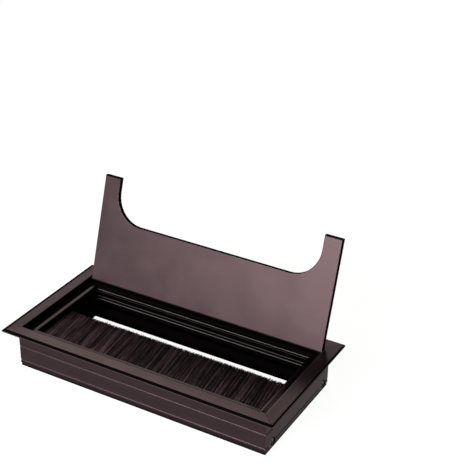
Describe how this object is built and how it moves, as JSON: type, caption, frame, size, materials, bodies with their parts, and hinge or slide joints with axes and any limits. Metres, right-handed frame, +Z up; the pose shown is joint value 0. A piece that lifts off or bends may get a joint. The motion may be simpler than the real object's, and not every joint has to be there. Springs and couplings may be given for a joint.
{
  "type": "rectangular desk cable grommet",
  "caption": "Rectangular desk cable grommet: mitred extruded frame that drops into a desk cut-out, flush hinged lid with a cable cut-out, brush strip across the slot.",
  "frame": {"origin": "centre of the rim's underside, the plane that rests on the desk top", "axes": "+X along the length, +Y towards the hinge side, +Z up out of the desk; the lid stands open in the rest pose"},
  "size_m": [0.16, 0.089, 0.0804],
  "materials": {
    "frame_finish": "satin dark bronze anodised, fine drawn grain along each side",
    "lid_finish": "satin dark bronze anodised, fine grain along the length",
    "key_metal": "dull black die-cast",
    "screw_metal": "black zinc plated",
    "channel_metal": "galvanised sheet",
    "wire_metal": "drawn wire",
    "pin_metal": "ground steel",
    "bristle": "black nylon filaments"
  },
  "bodies": {
    "frame": {"front_profile": "frame_finish", "rear_profile": "frame_finish", "left_profile": "frame_finish", "right_profile": "frame_finish", "corner_key_front_left": "key_metal", "corner_key_front_right": "key_metal", "corner_key_rear_left": "key_metal", "corner_key_rear_right": "key_metal", "end_screw_front_left": "screw_metal", "end_screw_front_right": "screw_metal", "end_screw_rear_left": "screw_metal", "end_screw_rear_right": "screw_metal", "brush_channel": "channel_metal", "brush_wire": "wire_metal", "brush_bristles": "bristle"},
    "lid": {"lid_panel": "lid_finish", "hinge_pin_left": "pin_metal", "hinge_pin_right": "pin_metal"}
  },
  "joints": [
    {"name": "lid_hinge", "type": "hinge", "parent": "frame", "child": "lid", "pos_m": [0, 0.0302, 0.0002], "axis": [1, 0, 0], "range_deg": [0, 107]}
  ]
}
